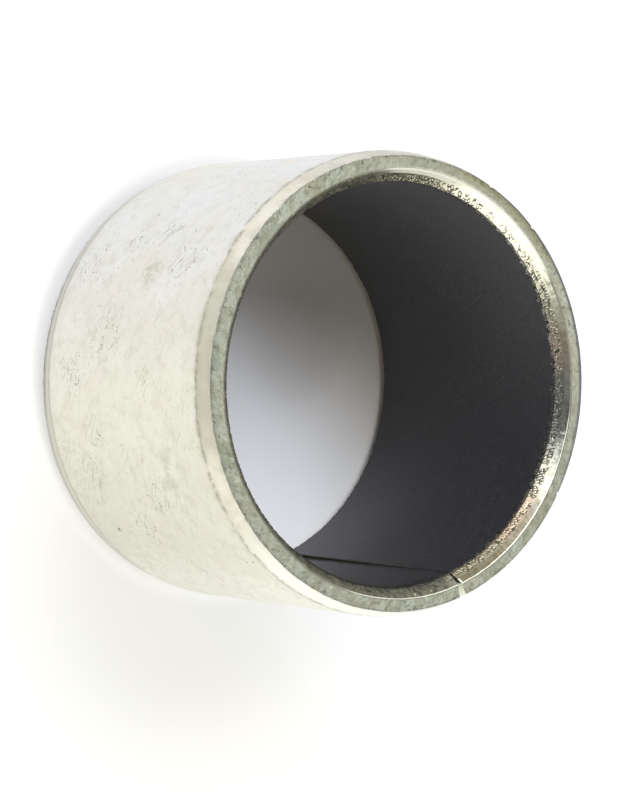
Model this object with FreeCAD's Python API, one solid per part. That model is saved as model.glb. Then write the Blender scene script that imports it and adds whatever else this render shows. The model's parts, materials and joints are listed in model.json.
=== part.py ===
import FreeCAD, Part
import os

# Wrapped plain bushing that guides a shock absorber's piston rod. All sizes are in millimetres.
# A flat strip of three bonded layers (steel backing, sintered bronze, sliding overlay) is rolled into a ring.
# The strip's cut ends meet in a straight butt joint, which is narrow at the bore and opens outwards,
# because the last stretch of a rolled strip stays nearly flat. The press fit in the housing closes it.
# The ring stands on one end. +Z is the bore axis, the origin is the centre of the lower end,
# and the butt joint lies on +X.

# Driving dimensions
BORE_DIAMETER = 20.0
LENGTH = 16.0
OVERLAY_THICKNESS = 0.03
BRONZE_THICKNESS = 0.3
STEEL_THICKNESS = 1.17

# Chamfers, the same at both ends: how far each runs along the axis, and how deep it is across the wall.
# The outer one is the long shallow lead-in for pressing, and the inner one lets the rod enter.
OUTER_CHAMFER_LENGTH = 1.1
OUTER_CHAMFER_DEPTH = 0.25
INNER_CHAMFER_LENGTH = 0.6
INNER_CHAMFER_DEPTH = 0.55

# Clear width of the butt joint before the ring is pressed in
JOINT_GAP_AT_BORE = 0.06
JOINT_GAP_AT_OUTSIDE = 0.5

# Radii of the surfaces between which each layer lies
BORE_RADIUS = BORE_DIAMETER / 2
BRONZE_INNER_RADIUS = BORE_RADIUS + OVERLAY_THICKNESS
STEEL_INNER_RADIUS = BRONZE_INNER_RADIUS + BRONZE_THICKNESS
OUTER_RADIUS = STEEL_INNER_RADIUS + STEEL_THICKNESS

# How far the joint's cutting tool runs past the wall on every side
TOOL_MARGIN = 1.0

AXIS_POINT = FreeCAD.Vector(0, 0, 0)
AXIS_DIRECTION = FreeCAD.Vector(0, 0, 1)

# Corners of the upper end across the wall, from bore to outside, as (radius, height)
UPPER_END = [
    (BORE_RADIUS, LENGTH - INNER_CHAMFER_LENGTH),
    (BORE_RADIUS + INNER_CHAMFER_DEPTH, LENGTH),
    (OUTER_RADIUS - OUTER_CHAMFER_DEPTH, LENGTH),
    (OUTER_RADIUS, LENGTH - OUTER_CHAMFER_LENGTH),
]


def upper_end_height(radius):
    """Height of the chamfered upper end at a radius within the wall."""
    for (r0, z0), (r1, z1) in zip(UPPER_END, UPPER_END[1:]):
        if r0 <= radius <= r1:
            return z0 + (z1 - z0) * (radius - r0) / (r1 - r0)
    raise ValueError(f"radius {radius} is outside the wall")


def polygon_face(points):
    """Flat face inside a closed polygon."""
    return Part.Face(Part.makePolygon(points + points[:1]))


def layer_section(inner_radius, outer_radius):
    """Section of one layer in the XZ plane: its upper outline, mirrored about mid length."""
    corner_radii = [r for r, _ in UPPER_END if inner_radius < r < outer_radius]
    upper = [(r, upper_end_height(r)) for r in [inner_radius, *corner_radii, outer_radius]]
    lower = [(r, LENGTH - z) for r, z in reversed(upper)]
    return polygon_face([FreeCAD.Vector(r, 0, z) for r, z in upper + lower])


def joint_tool():
    """Solid that is cut out of the ring to leave the butt joint: a wedge through the wall, over the length."""
    one_side = [
        (BORE_RADIUS - TOOL_MARGIN, JOINT_GAP_AT_BORE / 2),
        (BORE_RADIUS, JOINT_GAP_AT_BORE / 2),
        (OUTER_RADIUS, JOINT_GAP_AT_OUTSIDE / 2),
        (OUTER_RADIUS + TOOL_MARGIN, JOINT_GAP_AT_OUTSIDE / 2),
    ]
    outline = one_side + [(x, -y) for x, y in reversed(one_side)]
    section = polygon_face([FreeCAD.Vector(x, y, -TOOL_MARGIN) for x, y in outline])
    return section.extrude(FreeCAD.Vector(0, 0, LENGTH + 2 * TOOL_MARGIN))


def layer(inner_radius, outer_radius):
    """One layer of the rolled strip, open at the butt joint."""
    ring = layer_section(inner_radius, outer_radius).revolve(AXIS_POINT, AXIS_DIRECTION, 360)
    return ring.cut(joint_tool())


def sliding_overlay():
    """Dark low-friction skin that the rod slides on."""
    return layer(BORE_RADIUS, BRONZE_INNER_RADIUS)


def bronze_interlayer():
    """Porous bronze sintered on the steel, which keys the overlay to it and shows on the bore's chamfers."""
    return layer(BRONZE_INNER_RADIUS, STEEL_INNER_RADIUS)


def steel_backing():
    """Tin-plated steel strip, which holds the ring's shape and its press fit in the housing."""
    return layer(STEEL_INNER_RADIUS, OUTER_RADIUS)


PARTS = {
    "steel_backing": steel_backing,
    "bronze_interlayer": bronze_interlayer,
    "sliding_overlay": sliding_overlay,
}


def main():
    os.makedirs("parts", exist_ok=True)
    for name, make in PARTS.items():
        shape = make()
        print(name, "solids", len(shape.Solids), "valid", shape.isValid(), "volume", round(shape.Volume, 3))
        shape.exportStep(f"parts/{name}.step")


main()
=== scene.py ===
import json
import math
from collections import namedtuple

import bmesh
import bpy
import numpy as np
from mathutils import Matrix, Vector

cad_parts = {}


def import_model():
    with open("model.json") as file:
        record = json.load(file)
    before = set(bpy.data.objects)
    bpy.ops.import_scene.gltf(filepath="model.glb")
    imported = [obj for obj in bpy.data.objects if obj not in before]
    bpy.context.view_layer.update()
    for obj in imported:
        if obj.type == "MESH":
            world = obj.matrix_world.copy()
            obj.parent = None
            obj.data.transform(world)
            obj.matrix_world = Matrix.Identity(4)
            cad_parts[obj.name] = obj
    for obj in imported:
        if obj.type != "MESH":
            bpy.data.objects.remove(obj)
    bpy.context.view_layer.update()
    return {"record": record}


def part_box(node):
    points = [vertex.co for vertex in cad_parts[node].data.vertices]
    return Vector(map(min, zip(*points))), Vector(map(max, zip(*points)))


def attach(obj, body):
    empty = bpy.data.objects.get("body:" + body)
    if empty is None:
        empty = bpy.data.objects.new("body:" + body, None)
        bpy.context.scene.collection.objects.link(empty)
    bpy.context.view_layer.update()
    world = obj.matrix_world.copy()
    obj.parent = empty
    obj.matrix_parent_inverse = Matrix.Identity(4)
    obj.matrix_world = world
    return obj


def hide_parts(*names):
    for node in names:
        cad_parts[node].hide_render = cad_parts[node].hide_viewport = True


# Looks of the wrapped plain bushing. Sizes are in millimetres until a mesh is made, which is in metres.
# Each of the strip's three layers is a fine lathed mesh that stands for its CAD node.
# phi is the angle about the bore axis, counted from the butt joint on +X, and end is 0 for the upper end.
# The last number of a numpy noise is its salt, which only keeps it unlike the others.

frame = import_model()

MM = 0.001

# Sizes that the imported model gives
mount_sizes = {m["name"]: m["dims"] for m in frame["record"]["mounts"] if m["dims"]}
LENGTH = round(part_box("steel_backing")[1].z / MM, 3)
BORE_R = mount_sizes["rod_bore"]["r_mm"]
OUTER_R = mount_sizes["housing_seat"]["r_mm"]
BRONZE_R = round(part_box("sliding_overlay")[1].y / MM, 2)
STEEL_R = round(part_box("bronze_interlayer")[1].y / MM, 2)
INNER_CHAMFER_LENGTH = (LENGTH - mount_sizes["rod_bore"]["length_mm"]) / 2
OUTER_CHAMFER_LENGTH = (LENGTH - mount_sizes["housing_seat"]["length_mm"]) / 2

# Sizes that the construction's source names, repeated here
INNER_CHAMFER_DEPTH = 0.55
OUTER_CHAMFER_DEPTH = 0.25
JOINT_GAP_AT_BORE = 0.06
JOINT_GAP_AT_OUTSIDE = 0.5

FACE_IN_R = BORE_R + INNER_CHAMFER_DEPTH
FACE_OUT_R = OUTER_R - OUTER_CHAMFER_DEPTH
CHAMFER_SLOPE = INNER_CHAMFER_LENGTH / INNER_CHAMFER_DEPTH
CHAMFER_WIDTH = math.hypot(INNER_CHAMFER_DEPTH, INNER_CHAMFER_LENGTH)


# Noise in numpy

HASH_X = 374761393
HASH_Y = 668265263
HASH_SALT = 2246822519
HASH_STIR = 1274126177
HASH_BITS = 0xFFFFFFFF

# How far the centres of grains stray in their cells, and a distance beyond any centre
STRAY = 0.8
FAR = 9.0


def hashed(ix, iy, salt):
    """One fixed random number from 0 to 1 for each pair of whole numbers."""
    h = (ix.astype(np.int64) * HASH_X + iy.astype(np.int64) * HASH_Y + salt * HASH_SALT) & HASH_BITS
    h = ((h ^ (h >> 13)) * HASH_STIR) & HASH_BITS
    return (h ^ (h >> 16)) / 2.0**32


def grains(along, across, size, salt):
    """Cells of about that size: distances to the nearest two centres, and the cell's own number."""
    x, y = along / size, across / size
    cx, cy = np.floor(x), np.floor(y)
    first = np.full(x.shape, FAR)
    second = np.full(x.shape, FAR)
    own = np.zeros(x.shape)
    for dx in (-1, 0, 1):
        for dy in (-1, 0, 1):
            ix, iy = cx + dx, cy + dy
            px = ix + 0.5 + STRAY * (hashed(ix, iy, salt) - 0.5)
            py = iy + 0.5 + STRAY * (hashed(ix, iy, salt + 1) - 0.5)
            d = np.hypot(x - px, y - py)
            nearer = d < first
            second = np.where(nearer, first, np.minimum(second, d))
            own = np.where(nearer, hashed(ix, iy, salt + 2), own)
            first = np.where(nearer, d, first)
    return first * size, second * size, own


def smooth_noise(along, size, salt):
    """Smooth noise from -1 to 1 along a line, with features of about that size."""
    x = along / size
    i = np.floor(x)
    f = x - i
    f = f * f * (3 - 2 * f)
    zero = np.zeros_like(i)
    return 2 * (hashed(i, zero, salt) * (1 - f) + hashed(i + 1, zero, salt) * f) - 1


def smoothstep(low, high, x):
    t = np.clip((x - low) / (high - low), 0, 1)
    return t * t * (3 - 2 * t)


# The lathed meshes

# Columns near each cut end, as distances from it along the outside, and how far the outline is inset there
END_STEPS = (0.0, 0.006, 0.016, 0.03, 0.05)
END_INSETS = (0.03, 0.012, 0.004, 0.001, 0.0)

# Columns between those, for the steel and for the two inner layers
STEEL_COLUMNS = 1440
INNER_COLUMNS = 1900

# How far the inner layers are torn back at the joint, and the heights where that begins and is full
TORN_DEPTH = 0.19
TORN_FROM = 14.5
TORN_FULL = 4.0


def columns_round(count, radius):
    """Columns round the ring, closer at the joint: shares of the turn, angles, and ways round."""
    near_ends = np.array(END_STEPS) / (2 * math.pi * OUTER_R)
    middle = np.linspace(2 * near_ends[-1], 1 - 2 * near_ends[-1], count)
    shares = np.concatenate([near_ends, middle, 1 - near_ends[::-1]])
    around = shares * 2 * math.pi
    return shares, around, around * radius


def end_inset(columns):
    """How far the outline is inset in each column, which rounds the strip's cut ends."""
    inset = np.zeros(columns)
    inset[:len(END_INSETS)] = END_INSETS
    inset[-len(END_INSETS):] = END_INSETS[::-1]
    return inset


def half_gap(r):
    """Half the joint's width at a radius."""
    share = (r - BORE_R) / (OUTER_R - BORE_R)
    return (JOINT_GAP_AT_BORE + share * (JOINT_GAP_AT_OUTSIDE - JOINT_GAP_AT_BORE)) / 2


def torn_back(z):
    """How far the inner layers' cut edges are torn back, most of all towards the lower end."""
    ragged = 1 + 0.30 * smooth_noise(z, 0.9, 61) + 0.15 * smooth_noise(z, 0.4, 63)
    return TORN_DEPTH * smoothstep(TORN_FROM, TORN_FULL, z) * ragged


def drawn_in(r, z, inset):
    """Closed outlines, one for each column, drawn inwards by each column's inset."""
    prev_r, next_r = np.roll(r, 1, 1), np.roll(r, -1, 1)
    prev_z, next_z = np.roll(z, 1, 1), np.roll(z, -1, 1)
    normal_r, normal_z = next_z - prev_z, prev_r - next_r
    length = np.hypot(normal_r, normal_z) + 1e-9
    area = (r * next_z - next_r * z).sum(1, keepdims=True)
    reach = np.sign(area) * inset[:, None]
    return r - normal_r / length * reach, z - normal_z / length * reach


def ring_points(r, z, shares, torn):
    """Corners of the ring in metres, each column at its place between the joint's walls."""
    opening = half_gap(r) + (torn_back(z) if torn else 0)
    start = np.arcsin(opening / r)
    phi = start + shares[:, None] * (2 * math.pi - 2 * start)
    return np.stack([r * np.cos(phi), r * np.sin(phi), z], -1).reshape(-1, 3) * MM


def ring_faces(columns, spans):
    """Quads between neighbouring columns, and then the two cut ends as one polygon each."""
    i, k = np.meshgrid(np.arange(columns - 1), np.arange(spans), indexing="ij")
    k2 = (k + 1) % spans
    quads = np.stack([i * spans + k, (i + 1) * spans + k, (i + 1) * spans + k2, i * spans + k2], -1)
    first_end = list(range(spans))
    last_end = list(range((columns - 1) * spans, columns * spans))[::-1]
    return quads.reshape(-1, 4).tolist() + [first_end, last_end]


def close_ends(mesh):
    """Cut the two end polygons into triangles, and turn all faces outwards."""
    bm = bmesh.new()
    bm.from_mesh(mesh)
    bm.faces.ensure_lookup_table()
    bmesh.ops.triangulate(bm, faces=[bm.faces[-1], bm.faces[-2]], ngon_method="EAR_CLIP")
    bmesh.ops.recalc_face_normals(bm, faces=bm.faces)
    bm.to_mesh(mesh)
    bm.free()


def lathe(name, r, z, shares, inset, zones, materials, sharp_angle, attributes=None, torn=False):
    """Closed ring with a butt joint. r and z hold a closed outline for each column, and zones a material
    for each span of it. The cut ends take the last material."""
    columns, spans = r.shape
    r, z = drawn_in(r, z, inset)
    mesh = bpy.data.meshes.new(name)
    mesh.from_pydata(ring_points(r, z, shares, torn).tolist(), [], ring_faces(columns, spans))
    for material in materials:
        mesh.materials.append(material)
    slots = np.concatenate([np.tile(zones, columns - 1), [len(materials) - 1] * 2]).astype(np.int32)
    mesh.polygons.foreach_set("material_index", slots)
    for key, values in (attributes or {}).items():
        layer = mesh.attributes.new(key, "FLOAT", "POINT")
        layer.data.foreach_set("value", values.reshape(-1).astype(np.float32))
    close_ends(mesh)
    mesh.polygons.foreach_set("use_smooth", [True] * len(mesh.polygons))
    mesh.set_sharp_from_angle(angle=math.radians(sharp_angle))
    return new_object(name, mesh)


def new_object(name, data):
    made = bpy.data.objects.new(name, data)
    bpy.context.scene.collection.objects.link(made)
    return made


def toward(azimuth, elevation):
    """Direction from its azimuth about Z from +X and its elevation above the floor, in degrees."""
    a, e = math.radians(azimuth), math.radians(elevation)
    return Vector((math.cos(a) * math.cos(e), math.sin(a) * math.cos(e), math.sin(e)))


# Materials

# Sockets of the Mix node for colours
MIX_SHARE, MIX_A, MIX_B, MIX_RESULT = 0, 6, 7, 2


def rgb(r, g, b):
    """Colour written as it looks on screen, 0 to 255, as the linear values that a socket takes."""
    def linear(v):
        v /= 255
        return v / 12.92 if v <= 0.04045 else ((v + 0.055) / 1.055) ** 2.4
    return (linear(r), linear(g), linear(b), 1.0)


class Nodes:
    """Short way to write the nodes of a new material or world: most calls add nodes and return a socket.

    colours gives colours by name, and colour is what the nodes show so far.
    """

    def __init__(self, owner, colours=None):
        owner.use_nodes = True
        self.owner = owner
        self.tree = owner.node_tree
        self.colours = {key: rgb(*colour) for key, colour in (colours or {}).items()}
        self.colour = None

    def add(self, kind, settings=None, **inputs):
        node = self.tree.nodes.new("ShaderNode" + kind)
        for key, value in (settings or {}).items():
            setattr(node, key, value)
        for key, value in inputs.items():
            self.put(node, key.replace("_", " "), value)
        return node

    def put(self, node, key, value):
        """Link a socket into an input, which is named or counted, or set it to a value."""
        socket = node.inputs[key]
        if isinstance(value, bpy.types.NodeSocket):
            self.tree.links.new(value, socket)
        else:
            socket.default_value = value

    def math(self, operation, a, b=0.0, clamp=False):
        node = self.add("Math", {"operation": operation, "use_clamp": clamp})
        self.put(node, 0, a)
        self.put(node, 1, b)
        return node.outputs[0]

    def chain(self, operation, values):
        result = values[0]
        for value in values[1:]:
            result = self.math(operation, result, value)
        return result

    def times(self, *values):
        return self.chain("MULTIPLY", values)

    def plus(self, *values):
        return self.chain("ADD", values)

    def highest(self, *values):
        return self.chain("MAXIMUM", values)

    def minus(self, a, b, clamp=False):
        return self.math("SUBTRACT", a, b, clamp)

    def vector_math(self, operation, a, b, result="Vector"):
        node = self.add("VectorMath", {"operation": operation})
        self.put(node, 0, a)
        self.put(node, 1, b)
        return node.outputs[result]

    def ramp(self, value, low, high, start=0.0, end=1.0):
        """Smooth step of a value from low to high, onto start to end."""
        node = self.add("MapRange", {"interpolation_type": "SMOOTHSTEP"}, Value=value, From_Min=low,
                        From_Max=high, To_Min=start, To_Max=end)
        return node.outputs[0]

    def above(self, value, low, high, share=1.0):
        """0 up to low, rising to that share at high."""
        return self.ramp(value, low, high, 0.0, share)

    def below(self, value, low, high, share=1.0):
        """That share up to low, falling to 0 at high."""
        return self.ramp(value, low, high, share, 0.0)

    def mix(self, share, a, b):
        """Colour that goes from a to b with the share. Each is a socket, a value or a named colour."""
        node = self.add("Mix", {"data_type": "RGBA"})
        self.put(node, MIX_SHARE, share)
        self.put(node, MIX_A, self.colours.get(a, a))
        self.put(node, MIX_B, self.colours.get(b, b))
        return node.outputs[MIX_RESULT]

    def coat(self, share, colour):
        """Lay that share of a colour over what the nodes show so far."""
        self.colour = self.mix(share, self.colour, colour)

    def coat_stretches(self, stretches):
        """Lay coats near angles about the bore axis, given as (angle, reach, share, colour)."""
        for phi, reach, share, colour in stretches:
            self.coat(self.near_band(phi, reach, share), colour)

    def position(self, scale=(1, 1, 1)):
        """Place on the object in millimetres, times a scale for each axis."""
        coordinates = self.add("TexCoord").outputs["Object"]
        return self.vector_math("MULTIPLY", coordinates, tuple(s / MM for s in scale))

    def xyz(self, place):
        return self.add("SeparateXYZ", Vector=place).outputs

    def radius(self):
        x, y, _ = self.xyz(self.position())
        return self.math("SQRT", self.plus(self.times(x, x), self.times(y, y)))

    def angle(self):
        """Angle about the bore axis in radians, with 0 opposite the joint and the seam in it."""
        x, y, _ = self.xyz(self.position((-1, -1, 1)))
        return self.math("ARCTAN2", y, x)

    def polar(self, along=1.0, across=1.0, up=1.0, shear=0.0, shift=None):
        """Place as (way round the ring, radius, height) in millimetres, each times a scale."""
        height = self.times(self.xyz(self.position())[2], up)
        way = self.times(self.angle(), OUTER_R * along)
        if shear:
            way = self.plus(way, self.times(self.radius(), shear))
        place = self.add("CombineXYZ", X=way, Y=self.times(self.radius(), across), Z=height)
        if not shift:
            return place.outputs[0]
        return self.vector_math("ADD", place.outputs[0], shift)

    def strokes(self, slant, fine, coarse):
        """Noise drawn out into leaning strokes on the outside, with a fine and a coarse scale."""
        height = self.xyz(self.position())[2]
        across = self.minus(self.times(self.angle(), OUTER_R), self.times(height, slant))
        place = self.add("CombineXYZ", X=self.times(across, fine), Z=self.times(height, coarse))
        return self.noise(place.outputs[0], 1.0, 4, 0.7, 0.6)

    def along(self, phi, low, high, start=0.0, end=1.0):
        """Ramp over the distance from the bore axis towards the angle phi, in millimetres."""
        distance = self.vector_math("DOT_PRODUCT", self.position(), tuple(toward(phi, 0)), "Value")
        return self.ramp(distance, low, high, start, end)

    def near_band(self, phi, reach, share):
        """That share at an angle, falling to 0 at the reach in degrees to both sides."""
        turned = math.radians((phi + 360) % 360 - 180)
        off = self.math("ABSOLUTE", self.minus(self.angle(), turned))
        return self.below(off, 0.4 * math.radians(reach), math.radians(reach), share)

    def near(self, phi, height, reach):
        """1 at a place on the outside, falling to 0 at the reach in millimetres."""
        a = math.radians(phi)
        centre = (OUTER_R * math.cos(a), OUTER_R * math.sin(a), height)
        return self.disc(centre, 0.3 * reach, reach)

    def disc(self, centre, inner, outer):
        """1 within the inner distance from a centre, falling to 0 at the outer one."""
        return self.below(self.vector_math("DISTANCE", self.position(), centre, "Value"), inner, outer)

    def dents(self, place, limit):
        """1 in small irregular dents, where a noise rises above its limit."""
        return self.ramp(self.minus(self.noise(place, 2.9, 4, 0.66, 1.1), limit), 0.0, 0.07)

    def attribute(self, name):
        return self.add("Attribute", {"attribute_name": name}).outputs["Fac"]

    def noise(self, vector, scale, detail=2.0, roughness=0.5, distortion=0.0):
        node = self.add("TexNoise", Vector=vector, Scale=scale, Detail=detail, Roughness=roughness,
                        Distortion=distortion)
        return node.outputs[0]

    def bump(self, height, distance, strength):
        return self.add("Bump", Strength=strength, Distance=distance * MM, Height=height).outputs[0]

    def finish(self, **inputs):
        """Give the material's shader its colour and other inputs."""
        shader = self.tree.nodes["Principled BSDF"]
        for key, value in {"Base_Color": self.colour, **inputs}.items():
            self.put(shader, key.replace("_", " "), value)
        return self.owner


def new_material(name, colours=None):
    return Nodes(bpy.data.materials.new(name), colours)


PLATING_COLOURS = {
    "cool": (229, 230, 231), "cream": (235, 233, 223), "clouds": (229, 227, 217),
    "burnished": (253, 252, 244), "mottle": (214, 211, 196), "rosy": (236, 224, 219),
    "dent_shine": (254, 253, 246), "dent_shade": (142, 138, 120), "strokes": (170, 160, 144),
    "rubbed": (208, 203, 187), "pits": (168, 166, 152), "olive": (184, 179, 154), "grey": (196, 194, 184),
    "nicks": (92, 88, 74), "line": (172, 168, 153),
}

# Marks of the outside, as (angle, height, reach): first the places where dents and scuffs gather
SCUFFED_PLACES = (
    (-146.6, 5.8, 1.6), (-141.3, 11.4, 2.4), (-140.9, 2.9, 2.0), (-150.0, 8.6, 1.5), (-96.6, 5.0, 1.6),
    (-112.0, 3.6, 2.0), (-122.0, 6.0, 2.4), (-79.3, 9.2, 1.8), (-86.0, 3.5, 2.2), (-70.0, 6.5, 1.6),
)
OLIVE_STAIN = (-137.4, 8.8, 1.3)
GREY_STAIN = (-86.2, 11.5, 2.0)
NICKS = ((-68.3, 3.38, 0.16), (-61.2, 14.2, 0.08), (-156.3, 5.8, 0.09), (-60.9, 13.6, 0.07))


def plated_ground(n, place, mottle):
    """Cool grey on one side of the ring and cream on the other, clouded and mottled, with painted light on
    the side towards the low window.
    """
    n.colour = n.mix(n.along(-62, -4.0, 9.5), "cool", "cream")
    n.coat(n.above(n.noise(place, 0.22, 3, 0.55), 0.40, 0.64, 0.75), "clouds")
    # painted light on the side that faces the low window
    n.coat(n.near_band(-32, 34, 0.6), "burnished")
    n.coat(n.above(mottle, 0.48, 0.74, 0.45), "mottle")
    n.coat(n.above(n.noise(place, 0.9, 2, 0.5), 0.55, 0.72, 0.35), "rosy")


def plated_scuffs(n, place):
    """Dents with painted shade and highlights, strokes and rubbed spots. Returns the dents."""
    scuffed = n.ramp(n.noise(place, 0.3, 2), 0.48, 0.66, 0.1, 0.6)
    scuffed = n.highest(scuffed, *(n.near(*spot) for spot in SCUFFED_PLACES))
    # each dent has painted shade on one side and a painted highlight on the other
    limit = n.minus(0.68, n.times(scuffed, 0.11))
    here = n.dents(n.polar(up=1.25), limit)
    beside = n.dents(n.polar(up=1.25, shift=(-0.07, 0.0, 0.07)), limit)
    shade = n.times(here, n.minus(1.0, n.times(beside, 0.7)))
    shine = n.times(beside, n.minus(1.0, here))
    n.coat(n.times(shine, 0.5), "dent_shine")
    n.coat(n.times(shade, 0.65), "dent_shade")
    strokes = n.ramp(n.strokes(-1.4, 4.5, 1.6), 0.54, 0.68)
    n.coat(n.times(scuffed, 0.75, strokes), "strokes")
    n.coat(n.above(n.noise(n.polar(up=1.2), 3.2, 3, 0.65, 0.4), 0.50, 0.70, 0.30), "rubbed")
    n.coat(n.above(n.noise(n.polar(up=1.5), 6.5, 2, 0.5, 0.4), 0.66, 0.74, 0.35), "pits")
    return here


def plated_stains(n, place, mottle):
    """Two soft stains, a few dark nicks, and a ragged line of painted shade along the edge of the chamfer.
    """
    blots = n.ramp(n.noise(place, 2.4, 4, 0.75, 0.6), 0.40, 0.62)
    n.coat(n.times(blots, n.near(*OLIVE_STAIN), 0.5), "olive")
    n.coat(n.times(n.near(*GREY_STAIN), n.ramp(mottle, 0.4, 0.65), 0.35), "grey")
    n.coat(n.times(n.highest(*(n.near(*nick) for nick in NICKS)), 0.85), "nicks")
    # painted shade in the groove at the chamfer's edge
    ragged = n.ramp(n.noise(place, 1.1, 4, 0.65), 0.34, 0.60, 0.1, 0.8)
    n.coat(n.times(n.attribute("line"), ragged), "line")


def plated_material():
    """Matt tin plating of the outside: warm white, clouded, with small dents and scuffs."""
    n = new_material("tin_plating", PLATING_COLOURS)
    place = n.position()
    mottle = n.noise(place, 1.3, 4, 0.6, 0.3)
    plated_ground(n, place, mottle)
    dents = plated_scuffs(n, place)
    plated_stains(n, place, mottle)
    height = n.plus(n.times(dents, -1.0), n.times(n.noise(place, 9, 3, 0.6), 0.25))
    rough = n.ramp(mottle, 0.3, 0.7, 0.42, 0.55)
    return n.finish(Metallic=0.9, Roughness=rough, Normal=n.bump(height, 0.02, 0.7))


ROLLED_COLOURS = {
    "light": (236, 233, 220), "dark": (216, 212, 196), "streaks": (200, 197, 180),
    "dusky": (188, 186, 170), "burnished": (255, 255, 248), "greyed": (190, 187, 178),
    "lower_end": (224, 222, 210), "line": (146, 144, 126), "lower_line": (84, 82, 80),
}
# Stretches round the chamfers: a painted dim reflection near -116 degrees, painted light near -36, and a
# greyer tone near 170
ROLLED_STRETCHES = ((-116, 30, 0.7, "dusky"), (-36, 45, 0.9, "burnished"), (170, 26, 0.4, "greyed"))


def rolled_material():
    """The same plating on the rolled chamfers, with painted light and shade in stretches, and dark ragged
    lines at their edges, of painted shade and some grime.
    """
    n = new_material("rolled_chamfer", ROLLED_COLOURS)
    patches = n.noise(n.polar(0.9, 1.0, 0.6), 0.8, 3, 0.55, 0.4)
    n.colour = n.mix(n.ramp(patches, 0.36, 0.68), "light", "dark")
    streaks = n.noise(n.polar(1.8, 1.0, 1.6, shear=0.8), 1.3, 3, 0.6, 0.5)
    n.coat(n.above(streaks, 0.5, 0.75, 0.25), "streaks")
    n.coat_stretches(ROLLED_STRETCHES)
    # the lower end's chamfer takes its own tone, with a darker line of painted contact shadow at its foot
    place = n.position()
    low = n.below(n.xyz(place)[2], 2.0, 4.0)
    n.coat(low, "lower_end")
    ragged = n.above(n.noise(place, 2.2, 4, 0.7), 0.36, 0.60, 0.8)
    ragged = n.highest(ragged, n.times(low, 0.85))
    n.coat(n.times(n.attribute("line"), ragged), n.mix(low, "line", "lower_line"))
    rough = n.ramp(streaks, 0.3, 0.7, 0.36, 0.48)
    return n.finish(Metallic=0.9, Roughness=rough, Normal=n.bump(streaks, 0.006, 0.5))


FACE_COLOURS = {
    "light": (195, 200, 183), "dark": (169, 168, 148), "warm": (188, 183, 160), "green": (156, 166, 146),
    "hollows": (132, 137, 114), "bright": (218, 222, 204), "scratches": (140, 141, 122),
    "lit": (214, 213, 192), "shaded": (142, 142, 124), "dull": (140, 140, 112),
    "olive": (148, 144, 96), "lilac": (122, 118, 128), "nicks": (106, 108, 88), "worn": (255, 254, 236),
    "line": (114, 112, 112),
}


def face_stretches(n):
    """Painted light on one side of the ring and painted shade on the other, and olive over a part of it."""
    n.coat(n.along(115, 2.0, 10.0, 0.0, 0.28), "lit")
    n.coat(n.along(-85, 0.0, 11.0, 0.0, 0.18), "shaded")
    n.coat_stretches(((52, 34, 0.18, "shaded"), (134, 44, 0.32, "dull")))
    outwards = n.ramp(n.radius(), FACE_IN_R + 0.2, FACE_OUT_R - 0.15)
    n.coat(n.times(n.near_band(124, 28, 1.0), outwards, 0.7), "olive")
    rim = n.ramp(n.radius(), FACE_OUT_R - 0.20, FACE_OUT_R - 0.08)
    n.coat(n.times(n.near_band(92, 62, 0.9), rim), "lilac")


def face_marks(n):
    """Nicks towards the outside, a painted highlight on the inner edge, and the outer edge's dark line of
    grime and painted shade.
    """
    outer = n.above(n.radius(), FACE_IN_R + 0.25, FACE_OUT_R - 0.05, 0.075)
    nicks = n.plus(n.noise(n.polar(), 4.2, 3, 0.65, 0.6), n.near_band(112, 52, 0.045), outer)
    n.coat(n.above(nicks, 0.64, 0.71, 0.8), "nicks")
    # painted highlight along the inner edge, next to the bright chamfer
    inward = n.plus(n.radius(), n.times(n.noise(n.polar(), 3.0, 3, 0.7), 0.2))
    worn = n.below(inward, FACE_IN_R + 0.12, FACE_IN_R + 0.27)
    n.coat(n.times(worn, n.near_band(134, 34, 0.85)), "worn")
    # the outer edge's dark line, partly grime and partly painted shade
    ragged = n.ramp(n.noise(n.position(), 1.8, 4, 0.65), 0.34, 0.60, 0.1, 0.95)
    n.coat(n.times(n.attribute("line"), ragged), "line")


def end_face_material():
    """End of the strip: matt grey-green metal, blotched across the wall, scratched and nicked."""
    n = new_material("cut_end_face", FACE_COLOURS)
    blotches = n.noise(n.polar(1.0, 0.8, shear=0.5), 1.15, 3, 0.6, 0.3)
    n.colour = n.mix(n.ramp(blotches, 0.38, 0.62), "light", "dark")
    tints = n.noise(n.polar(0.6, 0.5, shear=0.3), 0.9, 2, 0.5)
    n.coat(n.above(tints, 0.55, 0.68, 0.55), "warm")
    n.coat(n.below(tints, 0.32, 0.44, 0.55), "green")
    patches = n.noise(n.polar(shear=0.6), 3.4, 4, 0.65, 0.5)
    n.coat(n.above(patches, 0.51, 0.66, 0.85), "hollows")
    n.coat(n.below(patches, 0.31, 0.44, 0.85), "bright")
    streaks = n.noise(n.polar(4.0, 0.9, shear=2.2), 1.5, 3, 0.6)
    n.coat(n.above(streaks, 0.52, 0.70, 0.45), "scratches")
    face_stretches(n)
    face_marks(n)
    height = n.plus(streaks, n.times(patches, 1.2))
    rough = n.ramp(blotches, 0.3, 0.7, 0.36, 0.5)
    return n.finish(Metallic=0.4, Roughness=rough, Normal=n.bump(height, 0.008, 0.8))


CUT_COLOURS = {
    "light": (210, 208, 192), "dark": (184, 182, 164), "turned": (160, 152, 134),
    "brown": (164, 150, 122), "grit": (128, 116, 82), "grey": (120, 121, 117),
    "glint": (246, 245, 228), "dirt": (46, 48, 38), "light_dirt": (108, 106, 82), "crumbs": (206, 198, 168),
}


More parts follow.
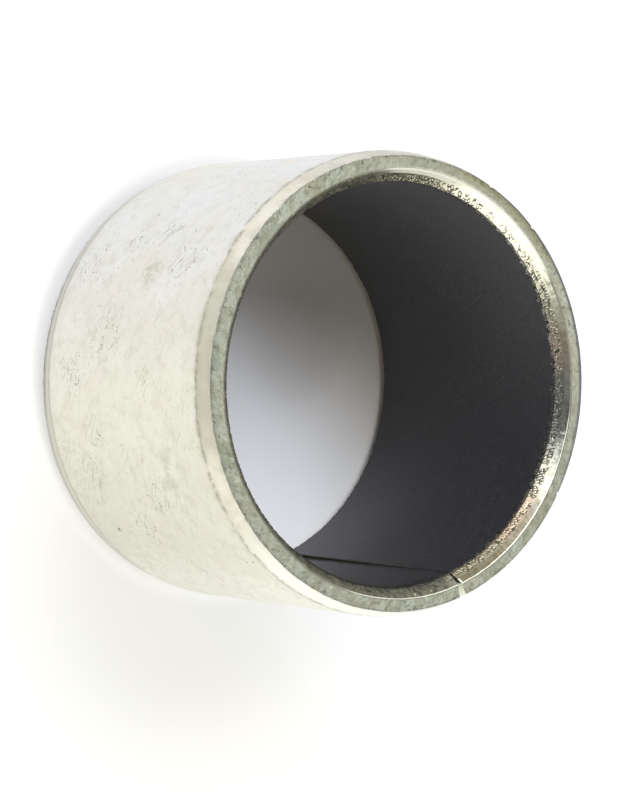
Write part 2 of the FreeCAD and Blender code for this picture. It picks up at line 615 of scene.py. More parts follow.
def cut_dirt_and_shade(n):
    """Colour of the grime and painted shade on the cut: dark, lighter in patches, with a few light crumbs.
    """
    patches = n.noise(n.polar(1.2, shear=0.6), 2.4, 4, 0.7)
    dirt = n.mix(n.ramp(patches, 0.38, 0.62), "dirt", "light_dirt")
    return n.mix(n.ramp(n.noise(n.position(), 4.0, 2, 0.5), 0.64, 0.69), dirt, "crumbs")


def bright_cut_material():
    """Machined steel of the inner chamfer, with a matt edge painted with a highlight at the face, and
    painted reflections and shade round it.
    """
    n = new_material("machined_steel", CUT_COLOURS)
    lines = n.noise(n.polar(0.6, 12.0), 1.0, 3, 0.6)
    patches = n.noise(n.polar(1.6, 1.2, shear=0.6), 1.5, 4, 0.6)
    grit = n.noise(n.polar(4.0, 3.0, shear=1.5), 1.5, 3, 0.6)
    n.colour = n.mix(n.ramp(patches, 0.35, 0.7), "light", "dark")
    n.coat(n.above(lines, 0.5, 0.75, 0.25), "turned")
    # painted reflections: brown of warm surroundings near 12 degrees, and grey of darker ones near 55
    n.coat(n.near_band(12, 28, 0.2), "brown")
    n.coat(n.times(n.ramp(grit, 0.50, 0.64), n.near_band(12, 30, 0.5)), "grit")
    n.coat(n.times(n.near_band(55, 15, 0.95), n.ramp(grit, 0.36, 0.62, 0.35, 0.95)), "grey")
    # matt with a painted highlight where the edge glints, and dark and matt with grime and painted shade on
    # the cut
    glint, line = n.attribute("glint"), n.attribute("line")
    n.coat(glint, "glint")
    n.coat(line, cut_dirt_and_shade(n))
    metal = n.minus(n.minus(1.0, n.times(glint, 0.7)), n.times(line, 0.95), clamp=True)
    height = n.plus(lines, n.times(patches, 0.8))
    rough = n.plus(n.ramp(lines, 0.3, 0.7, 0.15, 0.24), n.times(n.highest(glint, line), 0.35))
    return n.finish(Metallic=metal, Roughness=rough, Normal=n.bump(height, 0.003, 0.7))


WALL_COLOURS = {"light": (252, 254, 244), "dark": (240, 243, 224), "inner": (66, 60, 46)}


def joint_wall_material():
    """Sheared and tin-plated walls of the butt joint, dark towards the bore."""
    n = new_material("joint_wall", WALL_COLOURS)
    streaks = n.noise(n.position((1, 1, 5)), 1.2, 4, 0.6)
    n.colour = n.mix(n.ramp(streaks, 0.35, 0.7), "light", "dark")
    n.coat(n.below(n.radius(), FACE_IN_R - 0.02, FACE_IN_R + 0.10), "inner")
    return n.finish(Metallic=0.4, Roughness=0.5, Normal=n.bump(streaks, 0.01, 0.6))


BRONZE_COLOURS = {
    "dark_grain": (198, 195, 176), "light_grain": (222, 221, 204), "dull": (180, 173, 152),
    "olive": (164, 152, 120), "pink": (208, 178, 156), "brown": (200, 170, 154), "grey": (124, 128, 128),
    "green": (150, 150, 130), "dusky": (150, 148, 118), "pore": (52, 52, 36), "brown_pore": (92, 84, 52),
    "dirt": (24, 23, 21),
}
# Painted reflections of the surroundings on the bronze, light and dark, as (angle, reach, share, colour)
BRONZE_STRETCHES = (
    (10, 24, 0.45, "olive"), (28, 12, 0.5, "pink"), (80, 10, 0.45, "brown"), (62, 17, 0.8, "grey"),
    (94, 13, 0.35, "green"), (158, 18, 0.5, "dusky"),
)


def bronze_material():
    """Sintered bronze, cut by the chamfer: bright grains with dark overlay in the pores, painted
    reflections round it, and painted shade on its dark side.
    """
    n = new_material("sintered_bronze", BRONZE_COLOURS)
    place = n.position()
    n.colour = n.mix(n.attribute("tone"), "dark_grain", "light_grain")
    n.coat(n.above(n.noise(place, 5, 3, 0.6), 0.4, 0.7, 0.6), "dull")
    n.coat_stretches(BRONZE_STRETCHES)
    pore = n.attribute("pore")
    n.coat(pore, n.mix(n.near_band(16, 30, 0.7), "pore", "brown_pore"))
    # black and ragged along the bore, with grime and painted shade on the chamfer's dark side
    inward = n.plus(n.radius(), n.times(n.noise(place, 3.0, 3, 0.7), 0.22))
    dirt = n.times(n.below(inward, BRONZE_R + 0.10, BRONZE_R + 0.26), n.near_band(-40, 58, 0.9))
    n.coat(dirt, "dirt")
    pore = n.highest(pore, dirt)
    metal = n.minus(1.0, n.times(pore, 0.9))
    rough = n.plus(0.23, n.times(pore, 0.4), n.near_band(8, 34, 0.16))
    normal = n.bump(n.noise(place, 14, 2, 0.6), 0.003, 0.5)
    return n.finish(Metallic=metal, Roughness=rough, Normal=normal)


OVERLAY_COLOURS = {
    "dark": (44, 43, 48), "light": (81, 80, 85), "fillers": (104, 102, 108), "clouds": (66, 62, 70),
    "lit": (112, 112, 110), "lit_low": (112, 112, 108), "shaded": (38, 36, 42),
    "lit_foot": (118, 114, 121), "seam": (20, 18, 22), "rim": (26, 24, 24),
}


def overlay_dirt_and_shade(n, place):
    """Dirt along the joint, and painted shade under the dark side of the upper chamfer. Returns both
    shares.
    """
    x, y, z = n.xyz(place)
    off = n.plus(y, n.times(n.noise(n.position((1, 1, 0.8)), 1.4, 3, 0.7), 0.3))
    seam = n.below(n.math("ABSOLUTE", off), 0.12, 0.32, 0.85)
    seam = n.times(seam, n.ramp(x, 0.0, 1.0), n.ramp(z, 7.0, 14.5, 1.0, 0.25))
    n.coat(seam, "seam")
    # painted shade on the bore wall under the dark side of the upper chamfer
    ragged = n.plus(z, n.times(n.noise(place, 2.6, 3, 0.7), 0.9))
    rim = n.times(n.ramp(ragged, LENGTH - 1.1, LENGTH - 0.4), n.near_band(-40, 60, 0.5))
    n.coat(rim, "rim")
    return seam, rim


def overlay_material():
    """Charcoal sliding overlay: matt, with a fine light speckle of the fillers."""
    n = new_material("sliding_overlay", OVERLAY_COLOURS)
    place = n.position()
    height = n.xyz(place)[2]
    speckle = n.noise(place, 4.5, 4, 0.75)
    n.colour = n.mix(n.ramp(speckle, 0.36, 0.66), "dark", "light")
    n.coat(n.above(n.noise(place, 11.0, 2, 0.6), 0.50, 0.72, 0.8), "fillers")
    n.coat(n.above(n.noise(place, 0.5, 3, 0.5), 0.35, 0.7, 0.4), "clouds")
    # lighter where the paper's light reaches, darker on the other side
    n.coat(n.along(115, 0.0, 9.5, 0.0, 0.26), "lit")
    n.coat(n.times(n.below(height, 1.0, 8.0, 0.45), n.along(122, 2.0, 9.5)), "lit_low")
    n.coat(n.along(20, 2.0, 10.0, 0.0, 0.6), "shaded")
    n.coat(n.times(n.below(height, 1.0, 9.0, 0.35), n.along(-15, 3.0, 9.5)), "lit_foot")
    seam, rim = overlay_dirt_and_shade(n, place)
    rough = n.highest(n.ramp(speckle, 0.3, 0.7, 0.48, 0.6), seam, rim)
    normal = n.bump(speckle, 0.012, 0.7)
    return n.finish(Metallic=0.0, Roughness=rough, Specular_IOR_Level=0.5, Normal=normal)


PLATED = plated_material()
ROLLED = rolled_material()
END_FACE = end_face_material()
BRIGHT_CUT = bright_cut_material()
JOINT_WALL = joint_wall_material()
BRONZE = bronze_material()
OVERLAY = overlay_material()


# The three layers

def waves(around, parts):
    """Sum of waves round the ring, each given as (size, number of them, angle of a crest in degrees)."""
    return sum(size * np.cos(count * around - math.radians(crest)) for size, count, crest in parts)


def sector(around, start, end, soft):
    """1 between two angles in degrees, falling to 0 over that many degrees outside them."""
    off = np.abs((np.degrees(around) - (start + end) / 2 + 180) % 360 - 180)
    return smoothstep((end - start) / 2 + soft, (end - start) / 2, off)


def by_angle(around, table):
    """Values in a table of (angle in degrees, value), from 0 to 360, joined by straight lines."""
    return np.interp(np.degrees(around), [a for a, _ in table], [v for _, v in table])


# How the turned edges of the upper end wander round the photographed ring, and nicks of the outer one
# as (angle, depth). The lower end has the same, turned by these angles.
FACE_IN_WANDER = ((0.01, 1, 45), (0.031, 2, 117), (0.015, 3, 31))
FACE_OUT_WANDER = ((0.019, 1, -137), (0.061, 2, 132))
FACE_NICKS = ((132.1, 0.09), (114.9, 0.1), (39.8, 0.08))
LOWER_WANDER_TURN = 2.1
LOWER_NICKS_TURN = 57

# Where the ends look ragged, and where they get painted highlights and painted shade, as (start, end, soft)
# in degrees
RAGGED_SECTOR = (-188, -100, 12)
GLINT_SECTOR = (-34, 58, 8)
PALE_SECTOR = (105, 164, 7)
STREAK_SECTOR = (147, 161, 10)
EDGE_SHADE_SECTOR = (-184, -62, 12)
DARK_SECTOR = (-188, -5, 8)
SEAM_SECTOR = (64, 98, 6)
SHADED_FOOT_SECTOR = (-175, -112, 20)

# Zones of the steel's outline, in the order of its materials, of which the last is for the joint's walls
OUTSIDE, CHAMFER, FACE, TURNED = range(4)

# A row of the steel's outline: its depth is below its end, and edge names the edge that it wanders with
Row = namedtuple("Row", "r depth zone line glint edge", defaults=(0, 0, None))

# Radius of the fillet between the inner chamfer and the face, and how much painted highlight each of its
# rows can take
FILLET = 0.10
FILLET_GLINTS = (0, 0.1, 0.6, 1, 1, 0.7, 0.2)

# The face's rows: the dark line at its outer edge is partly grime and partly painted shade
FACE_ROWS = [
    Row(FACE_IN_R + 0.08, 0.0, FACE, 0, 0, "in"),
    Row(FACE_IN_R + 0.25, 0.0, FACE),
    Row(FACE_OUT_R - 0.2, 0.0, FACE),
    Row(FACE_OUT_R - 0.07, 0.0, FACE, 0.3, 0, "out"),
    Row(FACE_OUT_R - 0.03, 0.0, FACE, 0.9, 0, "out"),
    Row(FACE_OUT_R - 0.012, 0.006, CHAMFER, 1, 0, "out"),
    Row(FACE_OUT_R, 0.025, CHAMFER, 0.8, 0, "out"),
    Row(FACE_OUT_R + 0.01, 0.07, CHAMFER, 0.2, 0, "out"),
]

# Rows of the rolled chamfer and of the outside, as (depth, how far the row is sunk, dark line of painted
# shade in the groove)
CHAMFER_LEVELS = ((0.35, 0, 0), (0.75, 0, 0), (0.92, 0.002, 0.2), (1.00, 0.008, 0.7))
OUTSIDE_LEVELS = (
    (1.09, 0.012, 1), (1.20, 0.008, 0.6), (1.34, 0.001, 0.1), (2.0, 0, 0),
    (3.2, 0, 0), (4.8, 0, 0), (6.4, 0, 0),
)

# How many rows, from the bore, reach to the fillet's start and to its end
CHAMFER_ROW_COUNT = 4
FILLET_ROW_COUNT = 10

# Columns at the strip's first end that carry a burr with a painted highlight, and columns at both ends dark
# with grime and painted shade
BURR_COLUMNS = 6
DIRT_AND_SHADE_COLUMNS = 8

# How far the outside wavers, and from which depth on
WAVER = 0.006
WAVER_DEPTH = 1.4


def turned_rows():
    """The inner chamfer's steel, and the fillet between it and the face."""
    start_depth = (FACE_IN_R - STEEL_R) * CHAMFER_SLOPE
    lean = math.atan2(INNER_CHAMFER_LENGTH, INNER_CHAMFER_DEPTH)
    centre_r = FACE_IN_R + FILLET * math.tan(lean / 2)
    before = centre_r - FILLET * math.sin(lean) - 0.012
    rows = [
        Row(STEEL_R, start_depth, TURNED),
        Row(STEEL_R + 0.03, start_depth - 0.03 * CHAMFER_SLOPE, TURNED),
        Row(before, (FACE_IN_R - before) * CHAMFER_SLOPE, TURNED, 0, 0, "in"),
    ]
    for share, glint in zip(np.linspace(1, 0, len(FILLET_GLINTS)), FILLET_GLINTS):
        a = lean * share
        r, depth = centre_r - FILLET * math.sin(a), FILLET * (1 - math.cos(a))
        rows.append(Row(r, depth, TURNED, 0, glint, "in"))
    return rows


def outside_rows():
    """The rolled chamfer, sunk a little at its lower edge, and the outside."""
    slope = OUTER_CHAMFER_DEPTH / OUTER_CHAMFER_LENGTH
    return [
        Row(min(OUTER_R, FACE_OUT_R + depth * slope) - sink, depth, zone, line)
        for zone, levels in ((CHAMFER, CHAMFER_LEVELS), (OUTSIDE, OUTSIDE_LEVELS))
        for depth, sink, line in levels
    ]


def edge_shifts(around, arc, end):
    """How far each edge of an end wanders outwards, round the ring."""
    turned = around + end * LOWER_WANDER_TURN
    inner = waves(turned, FACE_IN_WANDER) + 0.008 * smooth_noise(arc, 0.5, 11 + end)
    inner = inner + 0.006 * smooth_noise(arc, 0.16, 13 + end) - 0.06 * sector(around, *EDGE_SHADE_SECTOR)
    rough = 0.2 + 0.8 * sector(around, *RAGGED_SECTOR)
    ragged = 0.014 * smooth_noise(arc, 0.45, 17 + end) + 0.018 * smooth_noise(arc, 0.15, 19 + end)
    outer = waves(turned, FACE_OUT_WANDER) + rough * ragged
    for phi, depth in FACE_NICKS:
        place = math.radians(phi + LOWER_NICKS_TURN * end) * OUTER_R
        outer = outer - depth * np.exp(-((arc - place) / 0.09) ** 2)
    return {None: np.zeros(len(around)), "in": inner, "out": outer}


def wavering(depth, arc, end):
    """How far a row of the outside wavers, round the ring."""
    if depth <= WAVER_DEPTH:
        return 0 * arc
    return WAVER * smooth_noise(arc + 40 * depth, 5.0, 23 + end) - WAVER


def mark_upper_end(line, glint, fillet, around, arc):
    """Painted highlights and shade on the upper end, with a burr painted bright at the strip's first end.
    """
    # painted highlight over the fillet's pale stretch, and painted shade where its edge is dark
    glint = np.where(fillet, np.maximum(glint, sector(around, *PALE_SECTOR)[:, None]), glint)
    shade = np.maximum(0.75 * sector(around, *EDGE_SHADE_SECTOR), 0.2 * sector(around, *SEAM_SECTOR))
    line = np.where(fillet, shade[:, None], line)
    # a painted pale streak on the chamfer, and grime and painted shade over its dark stretch
    streak = 0.9 * sector(around, *STREAK_SECTOR)[:, None]
    glint[:, 1:CHAMFER_ROW_COUNT] = np.maximum(glint[:, 1:CHAMFER_ROW_COUNT], streak)
    dirt = (0.82 + 0.13 * smooth_noise(arc, 0.13, 37)) * sector(around, *DARK_SECTOR)
    line[:, :CHAMFER_ROW_COUNT] = dirt[:, None]
    # the burr's painted highlight, and the cut ends' dark seat of grime and painted shade
    glint[:BURR_COLUMNS, :FILLET_ROW_COUNT] = 1
    line[:BURR_COLUMNS, :FILLET_ROW_COUNT] = 0
    line[:DIRT_AND_SHADE_COLUMNS, 0] = line[-DIRT_AND_SHADE_COLUMNS:, 0] = 1
    return line, glint


def mark_lower_end(line, around, depth, zone):
    """Painted shade at the foot on one side of the lower end, and a fainter line of painted shade above its
    chamfer.
    """
    dusk = np.where(depth < 0.1, 1.0, np.where(depth < 0.5, 0.3, 0.0))
    dusk = dusk * sector(around, *SHADED_FOOT_SECTOR)[:, None]
    line = np.where(zone == CHAMFER, np.maximum(line, dusk), line)
    return np.where((depth > 0.9) & (depth < 1.5), 0.45 * line, line)


def steel_end(rows, around, arc, end):
    """An end of the steel in each column: radius, height, dark line of grime and painted shade, and glint
    of painted highlight of each row.
    """
    shift = edge_shifts(around, arc, end)
    r = np.stack([row.r + shift[row.edge] for row in rows], 1)
    r = r + np.stack([wavering(row.depth, arc, end) for row in rows], 1)
    depth, line, glint = (np.tile([float(row[i]) for row in rows], (len(around), 1)) for i in (1, 3, 4))
    fillet = glint > 0
    # painted highlights on the fillet, in the glinting and pale stretches
    shining = np.maximum(sector(around, *GLINT_SECTOR), sector(around, *PALE_SECTOR))
    glint = glint * (shining * (0.85 + 0.15 * smooth_noise(arc, 0.4, 29)))[:, None]
    if end == 0:
        return r, LENGTH - depth, *mark_upper_end(line, glint, fillet, around, arc)
    return r, depth, mark_lower_end(line, around, depth, np.array([row.zone for row in rows])), glint


def steel_piece():
    """Backing strip: outside, rolled chamfers, end faces, and the turned chamfers' outer part."""
    shares, around, arc = columns_round(STEEL_COLUMNS, OUTER_R)
    columns = len(shares)
    rows = turned_rows() + FACE_ROWS + outside_rows()
    middle = np.full((columns, 1), OUTER_R - 0.004)
    centres = (middle, middle * 0 + LENGTH / 2, middle * 0, middle * 0)
    halves = zip(steel_end(rows, around, arc, 0), centres, steel_end(rows, around, arc, 1))
    r, z, line, glint = (np.concatenate([a, centre, b[:, ::-1]], 1) for a, centre, b in halves)
    # each span has the zone of its end nearer the bore, and the last one is the bronze's hidden seat
    half = [row.zone for row in rows]
    zones = half + [OUTSIDE] + half[:-1][::-1] + [TURNED]
    piece = lathe("tinned_steel_backing", r, z, shares, end_inset(columns), zones,
                  [PLATED, ROLLED, END_FACE, BRIGHT_CUT, JOINT_WALL], sharp_angle=28,
                  attributes={"line": line, "glint": glint})
    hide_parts("steel_backing")
    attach(piece, "root")


# How far the bore's edge leans outwards round the upper end, where the strip is rolled tighter or wider
BORE_LEAN = (
    (0, 0.0), (20, -0.005), (60, -0.015), (100, -0.03), (140, -0.055), (180, -0.08), (196, -0.05),
    (215, 0.03), (290, 0.02), (312, -0.05), (335, -0.04), (360, 0.0),
)

# How many of the bronze's pores are open round the upper end, and at the lower one
PORES = (
    (0, 0.8), (20, 0.8), (34, 0.75), (44, 0.75), (54, 0.7), (74, 0.7), (90, 0.75), (102, 0.68),
    (112, 0.34), (125, 0.18), (133, 0.45), (148, 0.75), (180, 0.9), (345, 0.9), (360, 0.7),
)
LOWER_PORES = 0.8

# Width of the bronze on the chamfer, and its rows there and below the corner, down to one hidden row
BRONZE_WIDTH = (STEEL_R - BRONZE_R) * CHAMFER_WIDTH / INNER_CHAMFER_DEPTH
SLANT_ROWS = 17
BORE_ROWS = 7
SLANT_SHARES = np.linspace(0, 1, SLANT_ROWS)
BORE_DROPS = 0.28 * np.arange(1, BORE_ROWS + 1) / BORE_ROWS
HIDDEN_DROP = 4.0
HIDDEN_DEPTH = 4.6
HIDDEN_SINK = 0.02

GRAIN_SIZE = 0.15


def bore_shift(around, end):
    """The lean at the upper end, and none at the lower one."""
    return (1 - end) * by_angle(around, BORE_LEAN)


def bronze_rows(around, end):
    """Radius and height of the bronze's rows in each column, before its grains are raised."""
    inner = (BRONZE_R + bore_shift(around, end))[:, None]
    slant_r = STEEL_R + (inner - STEEL_R) * SLANT_SHARES
    slant_z = LENGTH - (FACE_IN_R - slant_r) * CHAMFER_SLOPE
    hidden_r = inner * 0 + BRONZE_R + HIDDEN_SINK
    rows_r = np.concatenate([slant_r, np.repeat(inner, BORE_ROWS, 1), hidden_r], 1)
    rows_z = np.concatenate([slant_z, slant_z[:, -1:] - BORE_DROPS, inner * 0 + LENGTH - HIDDEN_DEPTH], 1)
    return rows_r, rows_z


def bronze_grains(around, arc, end):
    """How far the cut grains rise, where their pores are open, where painted shade lies on them, and each
    grain's own tone.
    """
    drops = [*BORE_DROPS, HIDDEN_DROP]
    across = np.concatenate([BRONZE_WIDTH * SLANT_SHARES, BRONZE_WIDTH + np.array(drops)])
    a, w = np.meshgrid(arc, across, indexing="ij")
    sway = 0.05 * smooth_noise(arc, 0.33, 91 + end)[:, None]
    # the cells lean, as the cutter dragged them
    first, second, own = grains(a + 0.5 * w, 0.7 * w + sway, GRAIN_SIZE, 31 + 7 * end)
    density = by_angle(around, PORES)[:, None] if end == 0 else LOWER_PORES
    toward_bore = smoothstep(0.0, 0.3 * BRONZE_WIDTH, w)
    border = (second - first) / 2
    gap = 0.008 + 0.036 * own * density
    often = 0.75 * density
    cracks = smoothstep(1.0, 0.35, border / gap) * smoothstep(0.75 - often, 1.05 - often, own)
    seldom = 0.04 * density
    missing = smoothstep(0.99 - seldom, 1.0 - seldom, own) * smoothstep(0.0, 0.03, border)
    pore = np.clip((cracks + missing) * (0.1 + 0.9 * toward_bore), 0, 1)
    # painted shade over the dark stretch of the upper chamfer
    if end == 0:
        pore = np.maximum(pore, 0.96 * sector(around, *DARK_SECTOR)[:, None] * (0.7 + 0.3 * own))
    dome = np.clip(1 - (first / 0.1) ** 2, 0, 1)
    raised = toward_bore * (0.003 * dome * (0.3 + 0.7 * own) - 0.002)
    lift = raised - 0.03 * np.clip(cracks + missing, 0, 1) * toward_bore
    lift[:, 0] = 0
    return lift, pore, own


def bronze_piece():
    """Sintered bronze: cut grains between dark pores, on the bore chamfers and under the overlay."""
    shares, around, arc = columns_round(INNER_COLUMNS, BORE_R)
    normal_r = np.array([-INNER_CHAMFER_LENGTH / CHAMFER_WIDTH] * SLANT_ROWS + [-1.0] * BORE_ROWS + [0.0])
    normal_z = np.array([INNER_CHAMFER_DEPTH / CHAMFER_WIDTH] * SLANT_ROWS + [0.0] * (BORE_ROWS + 1))
    ends = []
    for end in (0, 1):
        rows_r, rows_z = bronze_rows(around, end)
        lift, pore, tone = bronze_grains(around, arc, end)
        level = rows_z + lift * normal_z
        ends.append((rows_r + lift * normal_r, level if end == 0 else LENGTH - level, pore, tone))
    r, z, pore, tone = (np.concatenate([upper, lower[:, ::-1]], 1) for upper, lower in zip(*ends))
    # dark cut walls in the joint
    pore[[0, -1]] = 1
    piece = lathe("sintered_bronze_layer", r, z, shares, end_inset(len(shares)) * 0.5, [0] * r.shape[1],
                  [BRONZE], sharp_angle=70, attributes={"pore": pore, "tone": tone}, torn=True)
    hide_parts("bronze_interlayer")
    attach(piece, "root")


# Rows of the overlay, as drops below its ragged edge, and their radii: the first three close the skin
OVERLAY_DROPS = np.array([0.012, 0.0, 0.004, 0.02, 0.06, 0.2] + [0.5 * step for step in range(1, 15)])
OVERLAY_RADII = np.full(len(OVERLAY_DROPS), BORE_R, float)
OVERLAY_RADII[:3] = BRONZE_R + 0.01, BRONZE_R - 0.006, BORE_R + 0.008

# How far the ragged edge reaches down at the upper and the lower end
OVERLAY_RAGS = (0.44, 0.14)


def overlay_piece():
    """Dark skin of the bore, with a ragged edge where the chamfer tool broke it."""
    shares, around, arc = columns_round(INNER_COLUMNS, BORE_R)
    # the lean dies out down the bore
    follows = np.clip((3.5 - OVERLAY_DROPS) / 2.5, 0, 1)
    ends = []
    for end in (0, 1):
        shift = bore_shift(around, end)[:, None]
        corner = LENGTH - INNER_CHAMFER_LENGTH + shift * CHAMFER_SLOPE
        ragged = 0.5 + 0.36 * smooth_noise(arc, 0.14, 71 + end)
        ragged = ragged + 0.16 * smooth_noise(arc, 0.065, 73 + end)
        rows_z = corner + 0.05 - OVERLAY_RAGS[end] * ragged[:, None] - OVERLAY_DROPS[None, :]
        # above the corner the skin follows the chamfer outwards
        over = np.clip(rows_z - corner, 0, None) / CHAMFER_SLOPE
        ends.append((OVERLAY_RADII + shift * follows + over, rows_z if end == 0 else LENGTH - rows_z))
    r, z = (np.concatenate([upper, lower[:, ::-1]], 1) for upper, lower in zip(*ends))
    piece = lathe("dark_sliding_overlay", r, z, shares, end_inset(len(shares)) * 0.3, [0] * r.shape[1],
                  [OVERLAY], sharp_angle=50, torn=True)
    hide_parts("sliding_overlay")
    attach(piece, "root")


steel_piece()
bronze_piece()
overlay_piece()


# Floor, light and camera

FLOOR_SIZE = 0.6
FLOOR_DROP = -0.00001

# Outside the ring the camera sees the paper mostly bleached, with only this share of the shadows
BLEACH = 0.86
SHADOW_SHARE = 0.22
PAPER = (0.8, 0.8, 0.8, 1)
BLACK = (0, 0, 0, 1)

# Soft discs on the paper, as (centre, inner radius, outer radius, share). Crescents of the first three show
# beside the ring: dusk, closer dusk, and light thrown back by the plating. Then a wide dusk and the bore's.
HALO = ((-0.6, -0.1, 0.0), OUTER_R - 0.7, OUTER_R + 0.7, 0.22)
CONTACT = ((-0.96, -1.15, 0.0), OUTER_R - 1.45, OUTER_R - 0.75, 0.13)
SHINE = ((0.20, -0.35, 0.0), OUTER_R - 0.3, OUTER_R + 0.5, 0.07)
DUSK = ((8.8, -6.8, 0.0), 4.0, 13.0, 0.135)
BORE_DUSK = ((-0.5, 5.0, 0.0), 1.0, 5.5, 0.26)

# Painted tints of the paper's light and shade: brownish to bluish across the bore, and bluish to warm
# outside
BORE_BROWN = (1.12, 1.04, 0.93, 1)
BORE_BLUE = (1.0, 1.01, 1.06, 1)
OUTSIDE_BLUE = (0.985, 0.985, 1.0, 1)
OUTSIDE_WARM = (1.0, 1.0, 0.93, 1)


def soft_disc(n, centre, inner, outer, share):
    return n.times(n.disc(centre, inner, outer), share)


def paper_in_bore(n):
    """The paper by its own light, with painted shade in the bore's far half."""
    tint = n.mix(n.along(-60, -8.0, 0.5), BORE_BROWN, BORE_BLUE)
    return n.add("BsdfDiffuse", Color=n.mix(soft_disc(n, *BORE_DUSK), tint, BLACK))


def paper_outside(n):
    """The bleached paper, with the soft discs."""
    halo = n.plus(soft_disc(n, *HALO), soft_disc(n, *CONTACT))
    level = n.plus(n.minus(n.minus(BLEACH, halo), soft_disc(n, *DUSK)), soft_disc(n, *SHINE))
    tint = n.mix(n.along(-62, 4.0, 12.0), OUTSIDE_BLUE, OUTSIDE_WARM)
    shaded = n.add("BsdfDiffuse", Color=(SHADOW_SHARE, SHADOW_SHARE, SHADOW_SHARE, 1))
    glow = n.add("Emission", Strength=level, Color=tint)
    both = n.add("AddShader")
    n.put(both, 0, shaded.outputs[0])
    n.put(both, 1, glow.outputs[0])
    return both


def blend(n, share, first, second):
    node = n.add("MixShader", Fac=share)
    n.put(node, 1, first.outputs[0])
    n.put(node, 2, second.outputs[0])
    return node


def floor():
    """White paper that keeps the shadow."""
    mesh = bpy.data.meshes.new("floor")
    signs = ((-1, -1), (1, -1), (1, 1), (-1, 1))
    corners = [(x * FLOOR_SIZE, y * FLOOR_SIZE, FLOOR_DROP) for x, y in signs]
    mesh.from_pydata(corners, [], [(0, 1, 2, 3)])
    plane = new_object("floor", mesh)
    n = new_material("white_paper")
    n.tree.nodes.remove(n.tree.nodes["Principled BSDF"])
    path = n.add("LightPath").outputs
    seen = n.highest(path["Is Camera Ray"], path["Is Glossy Ray"], path["Is Transmission Ray"])
    inside = n.disc((0, 0, 0), BORE_R + 0.6, OUTER_R - 0.6)
    shown = blend(n, inside, paper_outside(n), paper_in_bore(n))
    surface = blend(n, seen, n.add("BsdfDiffuse", Color=PAPER), shown)
    n.put(n.tree.nodes["Material Output"], "Surface", surface.outputs[0])
    mesh.materials.append(n.owner)


LAMP_DISTANCE = 0.6

# Rectangular lamps that face the bushing, as (name, azimuth, elevation, width and height in degrees,
# brightness, colour)
LAMPS = (
    ("window", 165, 57, 33, 27, 8.0, (0.97, 0.99, 1.0)),
    ("low_window", -30, 20, 64, 34, 1.9, (1.0, 0.99, 0.94)),
    ("second_window", -152, 32, 22, 24, 2.2, (0.98, 0.99, 1.0)),
    ("warm_wall", -176, 24, 24, 20, 0.5, (1.0, 0.82, 0.68)),
)


def soft_light(name, azimuth, elevation, wide, high, brightness, colour):
    lamp = bpy.data.lights.new(name, "AREA")
    lamp.shape = "RECTANGLE"
    lamp.size = 2 * LAMP_DISTANCE * math.tan(math.radians(wide / 2))
    lamp.size_y = 2 * LAMP_DISTANCE * math.tan(math.radians(high / 2))
    lamp.energy = brightness * math.pi * lamp.size * lamp.size_y
    lamp.color = colour
    thing = new_object(name, lamp)
    away = toward(azimuth, elevation)
    thing.location = away * LAMP_DISTANCE
    thing.rotation_mode = "QUATERNION"
    thing.rotation_quaternion = away.to_track_quat("Z", "Y")


WORLD_LIGHT = 0.43

# Places that the bore's chamfer mirrors, as (azimuth, elevation, reach, brightness, colour)
SURROUNDINGS = (
    (-116, 34, 25, 0.25, (0.95, 1.0, 1.0)),
    (-69, 30, 16, 0.62, (0.94, 1.0, 0.90)),
    (-91, 34, 12, 0.32, (1.0, 0.84, 0.78)),
    (157, 14, 20, 0.50, (1.0, 0.94, 0.76)),
)


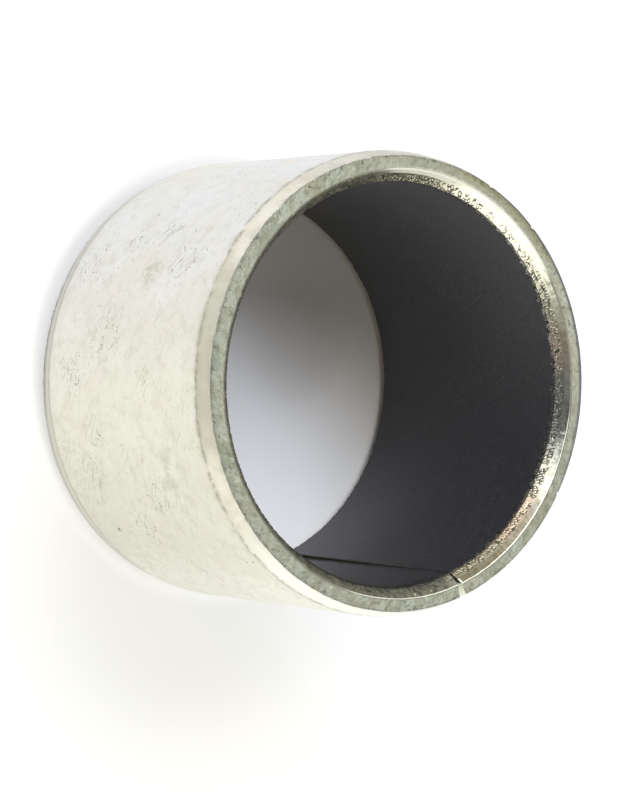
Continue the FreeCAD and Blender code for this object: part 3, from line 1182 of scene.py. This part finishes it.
def world():
    """Even white surroundings, with a few places of their own brightness."""
    made = bpy.data.worlds.new("studio")
    bpy.context.scene.world = made
    n = Nodes(made)
    direction = n.add("TexCoord").outputs["Generated"]
    n.colour = (WORLD_LIGHT, WORLD_LIGHT, WORLD_LIGHT, 1)
    for azimuth, elevation, reach, brightness, tint in SURROUNDINGS:
        cosine = n.vector_math("DOT_PRODUCT", direction, tuple(toward(azimuth, elevation)), "Value")
        share = n.ramp(cosine, math.cos(math.radians(reach)), math.cos(math.radians(0.55 * reach)))
        n.coat(share, (*(brightness * t for t in tint), 1))
    background = n.tree.nodes["Background"]
    n.put(background, "Color", n.colour)
    n.put(background, "Strength", 1.0)


# The photograph's view: lengths in pixels, angles in degrees, and the distance and the place aimed at in
# millimetres. The ring stands on its end, and the picture is turned by about a quarter.
FOCAL_PIXELS = 2902.8
LONG_SIDE_PIXELS = 800
SENSOR_WIDTH = 36.0
VIEW_AZIMUTH = -21.45
VIEW_ELEVATION = 55.22
VIEW_ROLL = 91.99
VIEW_DISTANCE = 148.74
VIEW_AIM = (0.857, -0.398, 8.0)


def camera():
    data = bpy.data.cameras.new("photo_view")
    data.sensor_width = SENSOR_WIDTH
    data.lens = FOCAL_PIXELS / LONG_SIDE_PIXELS * SENSOR_WIDTH
    data.clip_start = 0.01
    data.clip_end = 10.0
    thing = new_object("photo_view", data)
    azimuth, elevation, roll = (math.radians(a) for a in (VIEW_AZIMUTH, VIEW_ELEVATION, VIEW_ROLL))
    back = Vector((math.sin(azimuth) * math.cos(elevation), -math.cos(azimuth) * math.cos(elevation),
                   math.sin(elevation)))
    level = Vector((math.cos(azimuth), math.sin(azimuth), 0))
    right = level * math.cos(roll) + back.cross(level) * math.sin(roll)
    up = back.cross(right)
    aim = Vector(VIEW_AIM) * MM
    distance = VIEW_DISTANCE * MM
    thing.matrix_world = Matrix((
        (right.x, up.x, back.x, aim.x + back.x * distance),
        (right.y, up.y, back.y, aim.y + back.y * distance),
        (right.z, up.z, back.z, aim.z + back.z * distance),
        (0, 0, 0, 1),
    ))
    bpy.context.scene.camera = thing


floor()
world()
for settings in LAMPS:
    soft_light(*settings)
camera()
bpy.context.scene.view_settings.view_transform = "Standard"
